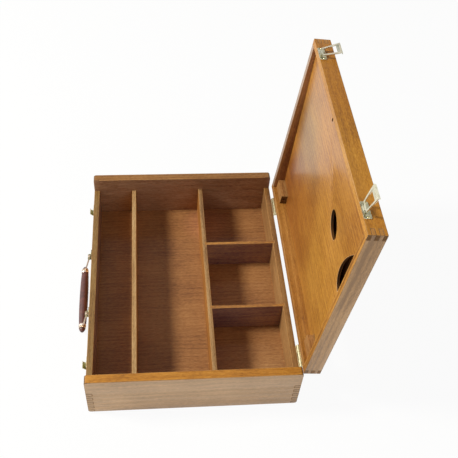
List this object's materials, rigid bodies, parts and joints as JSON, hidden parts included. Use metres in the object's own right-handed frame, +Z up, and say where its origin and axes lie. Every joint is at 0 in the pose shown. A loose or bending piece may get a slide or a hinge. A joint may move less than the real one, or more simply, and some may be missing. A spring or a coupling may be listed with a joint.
{
  "type": "artist's brush box",
  "caption": "Wooden artist's brush box with divided bays, a lid on two hinges that holds a lift-out palette, two hasp latches and a carrying handle.",
  "frame": {"origin": "centre of the underside of the box, on the surface that it stands on", "axes": "+X towards the hinge side, +Y along the hinge towards the far end, +Z up"},
  "size_m": [0.3915, 0.402, 0.3965],
  "materials": {
    "varnished_wood": "gloss varnish",
    "plywood": "satin varnish",
    "brass": "polished plate",
    "steel": "dull",
    "grip_leather": "smooth"
  },
  "bodies": {
    "tray": {"near_end_wall": "varnished_wood", "far_end_wall": "varnished_wood", "latch_wall": "varnished_wood", "hinge_wall": "varnished_wood", "floor_panel": "plywood", "floor_pins": "steel", "brush_divider": "varnished_wood", "paint_divider": "varnished_wood", "cross_divider_far": "varnished_wood", "cross_divider_near": "varnished_wood", "base_leaf_far": "brass", "base_leaf_near": "brass", "base_leaf_screws": "brass", "hinge_pin_far": "brass", "hinge_pin_near": "brass", "catch_far": "brass", "catch_near": "brass", "catch_screws": "brass", "handle_bracket_far": "brass", "handle_bracket_near": "brass", "handle_bracket_screws": "brass", "handle_pin_far": "brass", "handle_pin_near": "brass"},
    "lid": {"lid_near_rail": "varnished_wood", "lid_far_rail": "varnished_wood", "lid_latch_rail": "varnished_wood", "lid_hinge_rail": "varnished_wood", "lid_panel": "plywood", "lid_pins": "steel", "lid_leaf_far": "brass", "lid_leaf_near": "brass", "lid_leaf_screws": "brass", "block_far": "varnished_wood", "block_near": "varnished_wood", "block_screws": "steel", "strip_latch": "varnished_wood", "hasp_plate_far": "brass", "hasp_plate_near": "brass", "hasp_plate_screws": "brass", "hasp_pin_far": "brass", "hasp_pin_near": "brass"},
    "palette": {"palette": "plywood"},
    "handle": {"handle_link_far": "brass", "handle_link_near": "brass", "handle_rod": "steel", "handle_grip": "grip_leather", "handle_cap_far": "grip_leather", "handle_cap_near": "grip_leather"},
    "hasp_far": {"hasp_far": "brass"},
    "hasp_near": {"hasp_near": "brass"}
  },
  "joints": [
    {"name": "lid_hinge", "type": "hinge", "parent": "tray", "child": "lid", "pos_m": [0.156, 0, 0.058], "axis": [0, 1, 0], "range_deg": [-95.5, 0]},
    {"name": "handle_swing", "type": "hinge", "parent": "tray", "child": "handle", "pos_m": [-0.157, -0.0055, 0.046], "axis": [0, 1, 0], "range_deg": [-11, 161]},
    {"name": "hasp_far_swing", "type": "hinge", "parent": "lid", "child": "hasp_far", "pos_m": [0.18813, 0.15, 0.36765], "axis": [0, 1, 0], "range_deg": [-160, 15]},
    {"name": "hasp_near_swing", "type": "hinge", "parent": "lid", "child": "hasp_near", "pos_m": [0.18813, -0.15, 0.36765], "axis": [0, 1, 0], "range_deg": [-101.5, 73.5]},
    {"name": "palette_lift", "type": "slide", "parent": "lid", "child": "palette", "axis": [-0.9954, 0, 0.0958], "range_m": [0, 0.06]}
  ]
}
